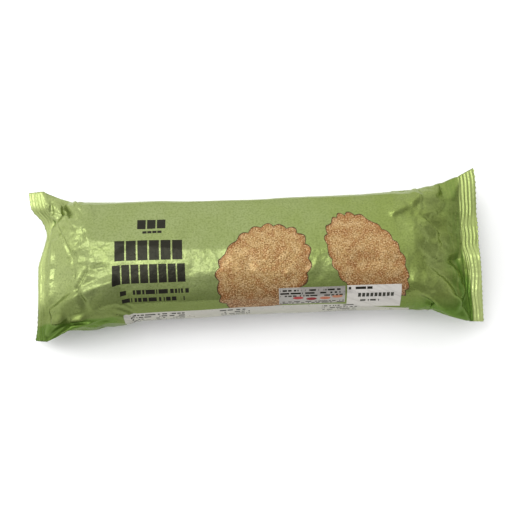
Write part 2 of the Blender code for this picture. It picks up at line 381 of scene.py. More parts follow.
def sheetsApart(film, level):
    # Near the seals the front sheet keeps above the back one, along the seal's own normal
    around, stackRows, taperRows, sealRows = gridSize(level)
    half = around // 2
    spread = np.linspace(0.0, 1.0, half + 1)[1:-1]
    firsts = (sealRows, sealRows + taperRows + stackRows + 1)
    pairs = []
    for side, first in zip((-1, 1), firsts):
        sealNormal = sealLine(side, spread)[2].T[:, None, :]
        closeness = np.linspace(1.0, 0.0, taperRows) if side < 0 else np.linspace(0.0, 1.0, taperRows)
        closeness = closeness[None, :, None]
        normal = sealNormal * closeness + np.array([0.0, 0.0, 1.0])[:, None, None] * (1.0 - closeness)
        normal /= np.sqrt((normal**2).sum(axis=0))
        rows = slice(first, first + taperRows)
        pairs.append((film[:, rows, 1:half], film[:, rows, around - 1:half:-1], normal))
    return pairs


def overStack(level, rowCount):
    # For each row, 1 over the stack and 0 beyond it, with a soft change
    _, _, taperRows, sealRows = gridSize(level)
    share = np.zeros(rowCount)
    share[sealRows + taperRows:-sealRows - taperRows] = 1.0
    reach = 2**level
    kernel = np.hanning(2 * reach + 3)
    share = np.pad(share, reach + 1, mode="edge")
    return np.convolve(share, kernel / kernel.sum(), mode="valid")[:, None]


def nudge(film, level, share):
    # Uneven film has somewhere to fold
    rng = np.random.default_rng(settling["seed"])
    noise = rng.normal(size=film.shape[1:])
    for axis in (0, 0, 0, 1, 1, 1):
        noise = (np.roll(noise, 1, axis) + 2 * noise + np.roll(noise, -1, axis)) / 4
    noise *= settling["noise"][level] / noise.std()
    film += outward(film) * noise * share


def keepApart(pairs):
    # The front sheet never sinks into the back one
    for front, back, normal in pairs:
        short = np.maximum(settling["gap"] - ((front - back) * normal).sum(axis=0), 0.0) / 2
        front += normal * short
        back -= normal * short


def keepSides(film, loose, farLimit, nearLimit):
    # No point passes the limits, and the tube's two sides are pulled to them
    nearest, farthest = (np.interp(film[0, loose], *limit) for limit in (nearLimit, farLimit))
    film[1, loose] = np.clip(film[1, loose], nearest, farthest)
    for column, limit in ((0, farLimit), (film.shape[2] // 2, nearLimit)):
        short = np.interp(film[0, loose, column], *limit) - film[1, loose, column]
        film[1, loose, column] += settling["sidePull"] * short


def settled(level, before=None):
    # The film keeps its flat lengths, so the slack at both ends has to fold
    wrapped = np.ascontiguousarray(wrappedFilm(level).transpose(2, 0, 1))
    film = wrapped.copy() if before is None else np.ascontiguousarray(before.transpose(2, 0, 1))
    rowCount, columns = film.shape[1:]
    sealRows = gridSize(level)[3]
    free = np.ones((rowCount, columns))
    free[:sealRows] = free[-sealRows:] = 0.0
    onStack = overStack(level, rowCount)
    nudge(film, level, free * (1 - onStack * (1 - settling["noiseOnStack"])))
    pinned = free[:, 0] == 0.0
    film[:, pinned] = wrapped[:, pinned]
    links = linkedPairs(film, free, flatFilm(level))
    pairs = sheetsApart(film, level)
    memory = settling["memoryBody"] * onStack * free
    limits = [tuple(zip(*settling[name])) for name in ("farLimit", "nearLimit")]
    loose = np.flatnonzero((free[:, 0] > 0) & (onStack[:, 0] < 0.99))
    last = film.copy()
    steps = settling["steps"][level]
    for step in range(steps):
        pressure = settling["pressure"][0 if step < settling["pressureTurn"] * steps else 1]
        move = (film - last) * settling["damping"]
        last[:] = film
        film += move * free + outward(film) * (pressure * (1 - onStack) * free)
        film += memory * (wrapped - film)
        keepLengths(links)
        keepApart(pairs)
        np.maximum(film[2], 0.0, out=film[2])
        keepSides(film, loose, *limits)
    return film.transpose(1, 2, 0).copy()


def finer(film):
    # Twice as many steps each way
    curve = settling["curve"]
    padded = np.concatenate([2 * film[:1] - film[1:2], film, 2 * film[-1:] - film[-2:-1]])
    straight = (film[:-1] + film[1:]) / 2
    bent = (9 * (film[:-1] + film[1:]) - padded[:-3] - padded[3:]) / 16
    rows = np.empty((2 * len(film) - 1, *film.shape[1:]))
    rows[::2] = film
    rows[1::2] = curve * bent + (1 - curve) * straight
    before, after, second = (np.roll(rows, shift, axis=1) for shift in (1, -1, -2))
    wide = np.empty((len(rows), 2 * film.shape[1], 3))
    wide[:, ::2] = rows
    wide[:, 1::2] = curve * (9 * (rows + after) - before - second) / 16 + (1 - curve) * (rows + after) / 2
    return wide


creasing = {
    # How much of its settled folds the front sheet keeps, at the left and the right end. It keeps
    # them all near the far side, up to these shares of its width, and near the near side.
    "foldShare": (0.3, 0.3),
    "wholeFolds": ((0.14, 0.26), (0.05, 0.2)),
    "nearFolds": (0.05, 0.1),
    "facets": (                    # size, height over the stack, height at the ends, seed
        (18.0, 0.4, 0.7, 4),
        (7.0, 0.08, 0.12, 9),
    ),
    "facetStray": 0.38,            # share of its size by which a facet's corner is off the grid
    "facetGrowth": (0.35, 1.6),    # at the edge of the stack, and how fast they reach the ends' height
    # The long seam down the back, a flat ribbon with ridges
    "backSeam": {
        "middle": 0.75,            # share of the way round
        "width": 11.0,
        "height": 0.4,
        "edge": 0.8,
        "ridges": 4,
        "ridgeHeight": 0.15,
    },
    "fade": 4.0,                   # each crease rises over this length from its two ends
    "sideFade": 0.06,              # and over this share of the front's width from its sides
    "tableFade": 6.0,              # all but the seam fade out below this height, so the pack lies flat
    "sealFade": 4.0,               # and over this many rows before a seal
    "scattered": {                 # small random creases
        "areas": (                 # how many, from x to x, from y to y, and a scale for their height
            (50, -122.0, -96.0, -34.0, 34.0, 0.5),
            (80, 80.0, 118.0, -36.0, 34.0, 1.1),
            (50, -90.0, 82.0, -30.0, 32.0, 0.15),
        ),
        "length": (4.0, 15.0),
        "height": (0.2, 0.6),
        "narrow": (0.8, 1.4),
        "wide": (2.0, 5.0),
        "seed": 21,
    },
    # From x, y to x, y: height, then how wide it is on its left and its right
    "placed": (
        # Left end: the wall under the seal, and the edge of the stack
        (-116.5, 25.0, -103.6, -1.0, 1.4, 8.0, 12.0),
        (-117.5, 24.0, -105.0, -1.5, -0.9, 1.6, 1.6),
        (-103.6, -1.0, -101.5, -22.0, 1.2, 6.0, 9.0),
        (-105.0, -1.0, -103.5, -16.0, -0.6, 1.5, 1.5),
        (-119.0, 14.0, -122.0, -26.0, 1.1, 6.0, 2.5),
        (-116.0, 8.0, -119.5, -16.0, -0.8, 4.0, 2.5),
        (-117.0, 24.5, -125.0, 22.5, -1.2, 3.0, 3.0),
        # The hooked fold and the dark facet below it
        (-103.0, -24.0, -94.2, -9.4, 2.0, 1.6, 8.0),
        (-104.6, -22.8, -96.0, -8.6, -1.6, 1.8, 1.6),
        (-97.0, -10.8, -84.0, -9.6, -0.7, 4.0, 1.3),
        (-101.0, -22.5, -79.0, -16.0, 2.9, 3.5, 12.0),
        (-123.0, -29.5, -100.0, -22.2, 2.6, 3.5, 10.0),
        # The flap at the near corner
        (-122.0, -35.5, -111.0, -34.0, 2.2, 3.2, 1.5),
        (-110.5, -35.0, -99.0, -35.6, 2.4, 3.2, 1.5),
        # Crossing folds beside the ear
        (-124.0, 31.0, -111.0, 25.0, -1.2, 4.0, 3.0),
        (-117.0, 23.0, -110.0, 31.0, -1.1, 2.0, 4.0),
        (-116.0, 27.5, -100.5, 13.5, 1.5, 2.5, 3.0),
        (-112.0, 33.0, -101.5, 22.0, 0.9, 2.5, 3.0),
        (-103.5, 29.0, -98.5, 18.5, -1.1, 3.5, 2.5),
        (-97.5, 32.0, -93.0, 20.0, 0.9, 3.0, 5.0),
        (-108.0, 12.0, -96.0, 11.0, -0.7, 3.0, 3.0),
        # Right end: the dark fold above the biscuit and the crumple beside it
        (73.0, 14.5, 86.5, 20.5, 2.3, 9.0, 2.2),
        (85.0, 20.0, 95.0, 28.0, 2.1, 6.0, 2.4),
        (75.0, 10.5, 91.0, 17.0, -0.8, 3.0, 7.0),
        (84.5, 14.5, 93.5, -2.5, 1.0, 5.0, 6.0),
        (91.0, 13.5, 102.5, 2.5, 2.1, 2.6, 4.0),
        (102.5, 2.5, 98.5, -4.0, 1.3, 3.0, 3.0),
        (92.0, 15.5, 104.5, 18.0, 1.2, 5.0, 1.6),
        (96.0, 14.0, 106.0, 6.0, -1.0, 3.0, 3.0),
        (104.0, 19.0, 112.0, -6.0, 1.0, 6.0, 6.0),
        (116.0, 21.0, 114.5, -3.0, -0.9, 2.0, 7.0),
        # The pale crease, the dark hollow below it and its fan to the seal
        (90.0, -15.0, 118.0, -6.8, -2.0, 3.5, 8.0),
        (80.5, -22.0, 97.0, -26.5, 1.9, 7.0, 6.0),
        (93.0, -25.0, 114.0, -36.0, 2.2, 9.0, 6.0),
        (106.0, -11.0, 116.5, -31.0, 0.8, 5.0, 5.0),
        # Long soft ridges over the biscuits
        (-22.0, 0.5, 60.0, -3.0, 0.35, 10.0, 6.0),
        (-60.0, 22.0, -42.0, 6.0, 0.25, 8.0, 8.0),
        (26.0, -18.0, 33.0, -7.0, 0.5, 1.5, 4.0),
        (13.2, -18.8, 16.6, -13.0, 0.4, 2.4, 1.4),
        (-12.0, -9.0, -2.0, -13.0, -0.45, 6.0, 3.0),
        (-96.0, 29.0, -89.8, 18.5, -0.4, 4.0, 3.0),
        (-16.0, 22.0, -15.5, 8.0, 0.25, 2.5, 1.5),
        (-52.0, 8.0, -36.0, 24.0, 0.3, 4.0, 8.0),
        (16.5, 12.0, 22.0, 23.5, -0.35, 3.0, 1.5),
        (33.0, 18.5, 37.8, -2.0, 0.35, 5.0, 2.0),
        (50.0, -11.0, 82.0, -12.5, -0.6, 6.0, 7.0),
        (13.0, -19.8, 17.4, -13.6, 0.6, 1.9, 1.2),
        (37.0, -7.5, 48.5, -19.5, 0.3, 2.0, 6.0),
        (28.0, -21.0, 36.0, -15.5, -0.4, 5.0, 3.0),
        (66.0, -3.0, 84.0, -14.0, 0.45, 7.0, 7.0),
        (-38.0, -14.0, -6.0, -12.5, 0.4, 5.0, 6.0),
        (8.0, 22.0, 36.0, 30.0, 0.25, 7.0, 7.0),
    ),
}


def facetHeights(u, v, size, seed):
    # Random heights at scattered points of the flat film, joined by flat triangles
    rng = np.random.default_rng(seed)
    around = max(int(round(girth / size)), 3)
    along = int(np.ptp(u) / size) + 4
    stray = creasing["facetStray"]
    shift = rng.uniform(-stray, stray, (along, around, 2))
    height = rng.uniform(-1.0, 1.0, (along, around))
    x, y = (u - u.min()) / size + 1.0, v * around
    column, row = np.floor(x).astype(int), np.floor(y).astype(int)
    found = np.zeros_like(x)
    for step in np.ndindex(3, 3, 2):
        corners = []
        for i, j in (((0, 0), (1, 0), (0, 1)), ((1, 0), (1, 1), (0, 1)))[step[2]]:
            i, j = column + step[0] - 1 + i, row + step[1] - 1 + j
            spot = (i % along, j % around)
            corners.append((i + shift[spot][..., 0] - x, j + shift[spot][..., 1] - y, height[spot]))
        (ax, ay, a), (bx, by, b), (cx, cy, c) = corners
        area = (bx - ax) * (cy - ay) - (by - ay) * (cx - ax)
        partA, partB = (bx * cy - by * cx) / area, (cx * ay - cy * ax) / area
        partC = 1.0 - partA - partB
        inside = (partA >= 0.0) & (partB >= 0.0) & (partC >= 0.0)
        found = np.where(inside, partA * a + partB * b + partC * c, found)
    return found


def scatteredCreases():
    # Rows like those of the placed creases
    random = creasing["scattered"]
    rng = np.random.default_rng(random["seed"])
    rows = []
    for count, left, right, low, high, scale in random["areas"]:
        for _ in range(count):
            x, y, turn = rng.uniform(left, right), rng.uniform(low, high), rng.uniform(0.0, math.pi)
            length, height = rng.uniform(*random["length"]), rng.uniform(*random["height"])
            widths = rng.uniform(*random["narrow"]), rng.uniform(*random["wide"])
            widths = widths if rng.random() < 0.5 else widths[::-1]
            reachX, reachY = length / 2 * math.cos(turn), length / 2 * math.sin(turn)
            height *= scale * rng.choice((-1.0, 1.0))
            rows.append((x - reachX, y - reachY, x + reachX, y + reachY, height, *widths))
    return rows


def creaseHeights(x, y):
    # Each crease is a sharp ridge or groove with a flat side to each side of it
    total = np.zeros_like(x)
    for x1, y1, x2, y2, height, left, right in (*creasing["placed"], *scatteredCreases()):
        length = math.hypot(x2 - x1, y2 - y1)
        along = ((x - x1) * (x2 - x1) + (y - y1) * (y2 - y1)) / length
        aside = ((x2 - x1) * (y - y1) - (y2 - y1) * (x - x1)) / length
        tent = np.clip(1.0 - np.abs(aside) / np.where(aside > 0, left, right), 0.0, 1.0)
        fade = min(creasing["fade"], length / 2)
        total += height * tent * smooth(along / fade) * smooth((length - along) / fade)
    return total


def seamHeights(aside):
    # The back seam's height at this distance from its middle
    seam = creasing["backSeam"]
    inside = smooth((seam["width"] / 2 - np.abs(aside)) / seam["edge"])
    ridge = np.sin(2 * math.pi * seam["ridges"] * aside / seam["width"])
    return inside * (seam["height"] + seam["ridgeHeight"] * ridge)


def eased(film, level):
    # The front sheet goes part of the way back to the smooth wrapped shape at both ends
    columns, stackRows, taperRows, sealRows = gridSize(level)
    half = columns // 2
    wrapped = wrappedFilm(level)
    spread = np.linspace(0.0, 1.0, half + 1)
    film = film.copy()
    ends = (sealRows + taperRows, sealRows + taperRows + stackRows)
    tapers = (slice(sealRows, ends[0]), slice(ends[1] + 1, ends[1] + taperRows + 1))
    shares = zip(creasing["foldShare"], creasing["wholeFolds"], creasing["nearFolds"])
    for taper, (keep, (low, high), near) in zip(tapers, shares):
        whole = smooth((high - spread) / (high - low)) + smooth((spread - 1.0 + 2 * near) / near)
        share = (keep + (1.0 - keep) * np.minimum(whole, 1.0))[None, :, None]
        front = film[taper, :half + 1]
        front[:] = wrapped[taper, :half + 1] + share * (front - wrapped[taper, :half + 1])
    return film


def creased(film, flat):
    # Adds creases, small flat facets and the back seam along the film's own normal
    level = len(settling["steps"])
    columns, stackRows, taperRows, sealRows = gridSize(level)
    film = eased(film, level)
    normal = outward(film.transpose(2, 0, 1)).transpose(1, 2, 0)
    row = np.arange(len(film))
    fromStack = np.abs(row - (len(film) - 1) / 2) - stackRows / 2
    atEdge, growth = creasing["facetGrowth"]
    slack = smooth(fromStack / taperRows * growth + atEdge)[:, None]
    height = np.zeros(film.shape[:2])
    for size, onStack, atEnds, seed in creasing["facets"]:
        facets = facetHeights(flat[:, :, 0], flat[:, :, 1], size, seed)
        height += facets * (onStack + (atEnds - onStack) * slack)
    spread = np.linspace(0.0, 1.0, columns // 2 + 1)
    onFront = np.zeros(columns)
    onFront[:len(spread)] = smooth(np.minimum(spread, 1.0 - spread) / creasing["sideFade"])
    height += creaseHeights(film[:, :, 0], film[:, :, 1]) * onFront
    height *= smooth(film[:, :, 2] / creasing["tableFade"])
    height += seamHeights((flat[:, :, 1] - creasing["backSeam"]["middle"]) * girth)
    fromSeal = np.minimum(row, row[::-1]) - sealRows
    height *= smooth(fromSeal / creasing["sealFade"])[:, None]
    return film + normal * height[:, :, None]


def strays(rng, count):
    # Slow random values along a seal, about -1 to 1
    window = np.hanning(endSeals["strayPoints"])
    values = np.convolve(rng.normal(size=count + len(window) - 1), window, mode="valid")
    return values / (2 * values.std())


def crimped(film, level):
    # Swaps each smooth seal for one with ridges and a toothed edge, in many more rows
    around, _, _, sealRows = gridSize(level)
    points = around // 2 + 1
    perRidge = endSeals["rowsPerRidge"]
    count = endSeals["ridges"] * perRidge
    rng = np.random.default_rng(endSeals["seed"])
    ends = []
    for side in (-1, 1):
        rings = []
        heights = [rng.uniform(*endSeals["ridgeShares"]) + endSeals["uneven"] * strays(rng, points)
                   for _ in range(endSeals["ridges"] + 1)]
        wander = endSeals["wander"] * strays(rng, points)
        for i in range(1, count + 1):
            outer = smooth((i / count - endSeals["outerFrom"]) / endSeals["outerFade"])
            lower = 1.0 - (1.0 - endSeals["outerShare"]) * outer
            height = endSeals["ridgeHeight"] * heights[i // perRidge] * lower
            ridge = height * np.sin(2 * math.pi * (i / perRidge + wander))
            rings.append(sealRing(side, i / count, around // 2, ridge[:, None], i == count))
        ends.append(np.array(rings))
    return np.concatenate([ends[0][::-1], film[sealRows:-sealRows], ends[1]]), count


def inScene(name, data):
    # A new object with this mesh, lamp or camera
    thing = bpy.data.objects.new(name, data)
    bpy.context.scene.collection.objects.link(thing)
    return thing


def filmMesh(name, film, flat):
    # Four-sided faces between the rows, with the flat film as their UV map
    rowCount, columns = film.shape[:2]
    row, column = np.meshgrid(np.arange(rowCount - 1), np.arange(columns), indexing="ij")
    after = (column + 1) % columns
    faces = np.stack([row * columns + column, row * columns + after,
                      (row + 1) * columns + after, (row + 1) * columns + column], axis=-1).reshape(-1, 4)
    corners = ((row, column), (row, column + 1), (row + 1, column + 1), (row + 1, column))
    uv = np.stack([flat[rows, cols] for rows, cols in corners], axis=2).reshape(-1, 2)
    # The toothed ends are closed from sheet to sheet
    caps, capUv = [], []
    for edge in (0, rowCount - 1):
        for i in range(columns // 2):
            around = list(dict.fromkeys([i, i + 1, (columns - i - 1) % columns, (columns - i) % columns]))
            if edge == 0:
                around = around[::-1]
            caps.append([edge * columns + point for point in around])
            capUv += [flat[edge, point] for point in around]
    mesh = bpy.data.meshes.new(name)
    mesh.from_pydata((film.reshape(-1, 3) * mm).tolist(), [], faces.tolist() + caps)
    layer = mesh.uv_layers.new(name="flatFilm")
    layer.data.foreach_set("uv", np.concatenate([uv, capUv]).astype(np.float32).ravel())
    mesh.validate()
    mesh.shade_smooth()
    return inScene(name, mesh)


def finestFlat():
    # Along the flat film, and round it from 0 to 1, at each point of the creased mesh
    u, v, around = flatFilm(len(settling["steps"]) - 1)
    flat = np.stack([u, v / around], axis=2)
    flat = np.concatenate([flat, flat[:, :1] + (0.0, 1.0)], axis=1)
    for axis in (0, 1):
        count = flat.shape[axis]
        places = np.arange(2 * count - 1) / 2
        low = np.floor(places).astype(int)
        high = np.minimum(low + 1, count - 1)
        share = (places - low).reshape((-1, 1, 1) if axis == 0 else (1, -1, 1))
        flat = np.take(flat, low, axis) * (1 - share) + np.take(flat, high, axis) * share
    return flat


def flatUv(flat, sealCount):
    # The same with the seals' many rows, now from 0 to 1 along the film too
    sealRows = gridSize(len(settling["steps"]))[3]
    ends = []
    for edge, outer in ((flat[sealRows], flat[0]), (flat[-1 - sealRows], flat[-1])):
        steps = np.arange(1, sealCount + 1)[:, None, None] / sealCount
        ends.append(edge * (1 - steps) + outer * steps)
    flat = np.concatenate([ends[0][::-1], flat[sealRows:-sealRows], ends[1]])
    low, high = flat[0, 0, 0], flat[-1, 0, 0]
    flat[:, :, 0] = (flat[:, :, 0] - low) / (high - low)
    return flat, (low, high)


def buildFilm():
    film = None
    for level in range(len(settling["steps"])):
        film = finer(settled(level, film))
        print(f"film settled on grid {level}, {film.shape[0]} x {film.shape[1]} points")
    flat = finestFlat()
    film = creased(film, flat[:, :-1])
    print("film creased")
    film, sealCount = crimped(film, len(settling["steps"]))
    return film, *flatUv(flat, sealCount)


def ontoSolid(film):
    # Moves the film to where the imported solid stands
    low, high = film.reshape(-1, 3).min(axis=0), film.reshape(-1, 3).max(axis=0)
    boxLow, boxHigh = (np.array(corner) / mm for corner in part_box("pack"))
    shift = (boxLow + boxHigh - low - high) / 2
    shift[2] = boxLow[2] - low[2]
    return film + shift, shift


film, flat, filmEnds = buildFilm()
film, shift = ontoSolid(film)
pack = filmMesh("filmPack", film, flat)
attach(pack, "root")
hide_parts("pack")
print("film made", len(pack.data.polygons), "faces")

view = {
    "elevation": 77.0,
    "roll": 2.25,                 # the right end rises in the picture
    "distance": 0.58,
    "widthSeen": 0.297,           # at the middle of the pack
    "aim": (-2.2, -0.9, 24.0),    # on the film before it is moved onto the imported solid
    "sensor": 36.0,
}


def addCamera():
    data = bpy.data.cameras.new("camera")
    camera = inScene("camera", data)
    aim = Vector((np.array(view["aim"]) + shift) * mm)
    rise = math.radians(view["elevation"])
    camera.location = aim + Vector((0, -math.cos(rise), math.sin(rise))) * view["distance"]
    look = (aim - camera.location).to_track_quat("-Z", "Y")
    camera.rotation_mode = "QUATERNION"
    camera.rotation_quaternion = look @ Quaternion((0, 0, 1), -math.radians(view["roll"]))
    data.sensor_width = view["sensor"]
    data.lens = view["sensor"] * view["distance"] / view["widthSeen"]
    bpy.context.scene.camera = camera


class Wire:
    # A value or colour in a material's nodes, so that a print is written as sums and products
    def __init__(self, nodes, socket):
        self.nodes, self.socket = nodes, socket

    def feed(self, slot, value):
        if isinstance(value, Wire):
            self.nodes.links.new(value.socket, slot)
        else:
            slot.default_value = value

    def math(self, operation, *others):
        node = self.nodes.nodes.new("ShaderNodeMath")
        node.operation = operation
        for slot, value in zip(node.inputs, (self, *others)):
            self.feed(slot, value)
        return Wire(self.nodes, node.outputs[0])

    def __add__(self, other):
        return self.math("ADD", other)

    def __sub__(self, other):
        return self.math("SUBTRACT", other)

    def __rsub__(self, other):
        return (self - other) * -1.0

    def __mul__(self, other):
        return self.math("MULTIPLY", other)

    def __truediv__(self, other):
        return self.math("DIVIDE", other)

    __radd__ = __add__

    def above(self, other):
        return self.math("GREATER_THAN", other)

    def below(self, other):
        return self.math("LESS_THAN", other)

    def between(self, low, high):
        return self.above(low) * self.below(high)

    def ramp(self, low, high):
        # 0 below low, 1 above high, or the other way round
        node = self.nodes.nodes.new("ShaderNodeMapRange")
        self.feed(node.inputs["Value"], self)
        node.inputs["From Min"].default_value = low
        node.inputs["From Max"].default_value = high
        node.interpolation_type = "SMOOTHSTEP"
        return Wire(self.nodes, node.outputs["Result"])

    def wash(self, low, high, share):
        # How strongly an ink is laid: not at all at low, by this share at high
        return self.ramp(low, high) * share

    def vector(self, y, z=0.0):
        node = self.nodes.nodes.new("ShaderNodeCombineXYZ")
        for slot, value in zip(node.inputs, (self, y, z)):
            self.feed(slot, value)
        return Wire(self.nodes, node.outputs[0])

    def noise(self, scale, detail=2.0, roughness=0.5):
        node = self.nodes.nodes.new("ShaderNodeTexNoise")
        self.feed(node.inputs["Vector"], self)
        node.inputs["Scale"].default_value = scale
        node.inputs["Detail"].default_value = detail
        node.inputs["Roughness"].default_value = roughness
        return Wire(self.nodes, node.outputs["Fac"])

    def blots(self, scale, detail, roughness, low, high):
        return self.noise(scale, detail, roughness).ramp(low, high)

    def dice(self):
        node = self.nodes.nodes.new("ShaderNodeTexWhiteNoise")
        node.noise_dimensions = "2D"
        self.feed(node.inputs["Vector"], self)
        return Wire(self.nodes, node.outputs["Value"])

    def covered(self, colour, mask):
        # This colour with another laid over it
        node = self.nodes.nodes.new("ShaderNodeMix")
        node.data_type = "RGBA"
        self.feed(node.inputs[0], mask)    # a colour mix has its factor here, and its colours at 6 and 7
        self.feed(node.inputs[6], self)
        self.feed(node.inputs[7], colour if isinstance(colour, Wire) else (*colour, 1.0))
        return Wire(self.nodes, node.outputs[2])

    def layered(self, *layers):
        # This colour with inks laid over it one by one, each where its mask is
        colour = self
        for ink, mask in layers:
            colour = colour.covered(inks[ink], mask)
        return colour


def paint(red, green, blue):
    # A screen colour, 0 to 255, as the light that Blender works in
    return tuple(((c / 255 + 0.055) / 1.055) ** 2.4 for c in (red, green, blue))


inks = {
    "leaf": paint(136, 147, 97),
    "leafDeepAndShade": paint(113, 129, 50),
    "leafShadeAndGrain": paint(90, 104, 46),      # painted shade towards the near side, also the darker grain
    "leafHighlight": paint(182, 196, 126),    # painted highlight on the seals and at the left end
    "edge": paint(214, 222, 176),        # tints what the film mirrors at a flat angle
    "hedge": paint(76, 108, 32),
    "white": paint(172, 169, 162),
    "panel": paint(190, 186, 181),
    "labelAndSheen": paint(152, 148, 143),
    "black": paint(22, 19, 17),
    "crumb": paint(160, 128, 80),
    "sugar": paint(212, 184, 144),
    "toastAndShade": paint(136, 88, 46),
    "rimAndShade": paint(62, 38, 20),
    "spots": (paint(150, 52, 56), paint(120, 20, 34), paint(160, 96, 74), paint(164, 110, 86)),
}

# What follows is on the flat film: along the pack from its middle, and across it from the middle
# of the front, positive on the far side. Blots are noise: its scale, detail and roughness, then
# where they start and are full. A wash is where it starts, where it is full and how strong it is.
greenFilm = {
    "middle": -3.9,                       # of the print along the pack
    "patches": (0.045, 3.0, 0.6, 0.35, 0.65),
    "patchShare": 0.2,
    "grain": (0.85, 3.0, 0.6, 0.42, 0.66),
    "grainShare": 0.42,
    "deeper": (-30.0, 100.0, 0.5),        # painted shade, deeper along the pack towards the right end
    # painted light at the left end, in the highlight green
    "paintedLightLeft": (-92.0, -112.0, 0.25),
    "near": (-12.0, -34.0),               # painted shade, darker towards the near side
    "nearAlong": (110.0, 75.0, 0.6),      # and more so over the biscuits than at the right end
    "nearLeast": 0.1,
    "metal": 0.7,
}


def greenGround(tree, along, across, flat):
    # Patchy, as thin ink on foil is, with painted shade towards the right end and the near side, and
    # painted light at the left end
    base = tree.nodes.new("ShaderNodeRGB")
    base.outputs[0].default_value = (*inks["leaf"], 1.0)
    # Random patches of deeper ink, plus painted shade deepening towards the right end
    deep = flat.blots(*greenFilm["patches"]) * greenFilm["patchShare"] + along.wash(*greenFilm["deeper"])
    # Painted shade towards the near side, most over the biscuits
    near = across.ramp(*greenFilm["near"]) * (along.wash(*greenFilm["nearAlong"]) + greenFilm["nearLeast"])
    grain = flat.blots(*greenFilm["grain"]) * greenFilm["grainShare"]
    return Wire(tree, base.outputs[0]).layered(
        ("leafDeepAndShade", deep),
        ("leafHighlight", along.wash(*greenFilm["paintedLightLeft"])),
        ("leafShadeAndGrain", near),
        ("leafShadeAndGrain", grain),
    )


# The deep green along the foot of the pack and beside the right seal
hedge = {
    "share": 0.9,
    "leftTop": -37.0,
    "leftWave": (0.05, 5.0),              # noise scale and height of its wavy top
    "leftEdge": (1.0, -1.0),
    "leftEnd": (-72.0, -82.0),
    "leftShare": 0.8,
    "rightX": 125.0,
    "rightEdge": (-15.0, 2.0),            # before and after that place
    "rightAcross": (2.0, -14.0, 0.6),
    "rightLeast": 0.4,
    "streakScale": (0.55, 0.05),          # streaks run across the pack
    "streaks": (0.42, 0.56, 0.7),
    "streakLeast": 0.4,
    "lowY": -37.0,
    "lowEdge": (8.0, -5.0),
    "lowFrom": (70.0, 104.0),
    "metal": -0.1,
}


def inHedge(along, across, rightSeal):
    scale, high = hedge["leftWave"]
    wave = (along * scale).vector(0.0).noise(1.0, 0.0) * high - high / 2
    left = (across - hedge["leftTop"] - wave).ramp(*hedge["leftEdge"]) * along.ramp(*hedge["leftEnd"])
    scaleAlong, scaleAcross = hedge["streakScale"]
    streaks = (along * scaleAlong).vector(across * scaleAcross).noise(1.0).wash(*hedge["streaks"])
    right = (along - hedge["rightX"]).ramp(*hedge["rightEdge"])
    right = right * (across.wash(*hedge["rightAcross"]) + hedge["rightLeast"])
    right = right * (streaks + hedge["streakLeast"])
    low = (across - hedge["lowY"]).ramp(*hedge["lowEdge"]) * along.ramp(*hedge["lowFrom"])
    return (right + low).math("MINIMUM", 1.0) * (1.0 - rightSeal) + left * hedge["leftShare"]


# Painted highlight: where the film of the two seals is painted pale
paintedSealHighlight = {
    "left": (-126.5, -129.0),
    "leftAcross": (-30.0, -20.0, 0.5),
    "right": (128.5, 130.5),
    "rightSlant": (6.0, -24.0, 3.6),      # it starts this much further out on the near side
    "rightAcross": (8.0, -26.0, 0.65),
    "rightLeast": 0.35,
}


def hedgeAndSeals(colour, metal, along, across):
    # Deep green first, then the seals' painted highlight over it
    rightSeal = (along - across.wash(*paintedSealHighlight["rightSlant"])).ramp(*paintedSealHighlight["right"])
    dark = inHedge(along, across, rightSeal)
    # Painted highlight on the seals, stronger towards the near side of the right seal and the far part of
    # the left one
    sealHighlight = rightSeal * (across.wash(*paintedSealHighlight["rightAcross"]) + paintedSealHighlight["rightLeast"])
    sealHighlight = sealHighlight + along.ramp(*paintedSealHighlight["left"]) * across.wash(*paintedSealHighlight["leftAcross"])
    colour = colour.layered(("hedge", dark * hedge["share"]), ("leafHighlight", sealHighlight))
    return colour, dark * hedge["metal"] + metal


crumb = {
    # The two biscuits: middle, half length and width, turn, scallops and how deep they cut
    "rounds": (
        {"x": 5.4, "y": -13.6, "long": 31.0, "short": 24.6, "turn": 51.0, "lobes": 20, "cut": 0.06},
        {"x": 63.5, "y": -8.8, "long": 32.2, "short": 19.0, "turn": -58.5, "lobes": 21, "cut": 0.06},
    ),
    "swing": (1.7, 3.0),                  # noise scale and strength by which scallops crowd
    "depth": (2.4, 1.0, 0.5, 0.3, 0.6),   # blots by which they cut deeper
    "depthRange": (0.45, 0.8),            # least, and how much more
    "wobble": (1.3, 2.0, 0.08),           # noise scale, stretch and strength in the whole outline
    "ragged": (0.3, 0.16),                # noise scale and strength by which the toasted edge strays
    "browned": (0.1, 3.0, 0.6, 0.42, 0.68),
    "pits": (0.2, 4.0, 0.6),              # noise without a start and a full place
    "speckles": (1.25, 2.0, 0.7),
    "toastedPatches": 0.45,
    "toastedEdge": (0.82, 1.02, 0.8),
    # painted shade, in the toast ink, towards the near side and the right end
    "crumbShadeNear": (-16.0, -34.0, 0.6),
    "crumbShadeRight": (25.0, 70.0, 0.2),
    "shadedNear": (-14.0, -30.0, 0.42),
    "paleSpots": (0.48, 0.38, 0.18),
    "brownSpots": (0.48, 0.62, 0.5),
    "darkEdge": (0.93, 1.04, 0.8),
    "darkSpeckles": (0.52, 0.66, 0.75),
    "paleSpeckles": (0.48, 0.36, 0.6),
    "outline": (0.972, 0.988, 0.8),
    "metal": -0.5,
}


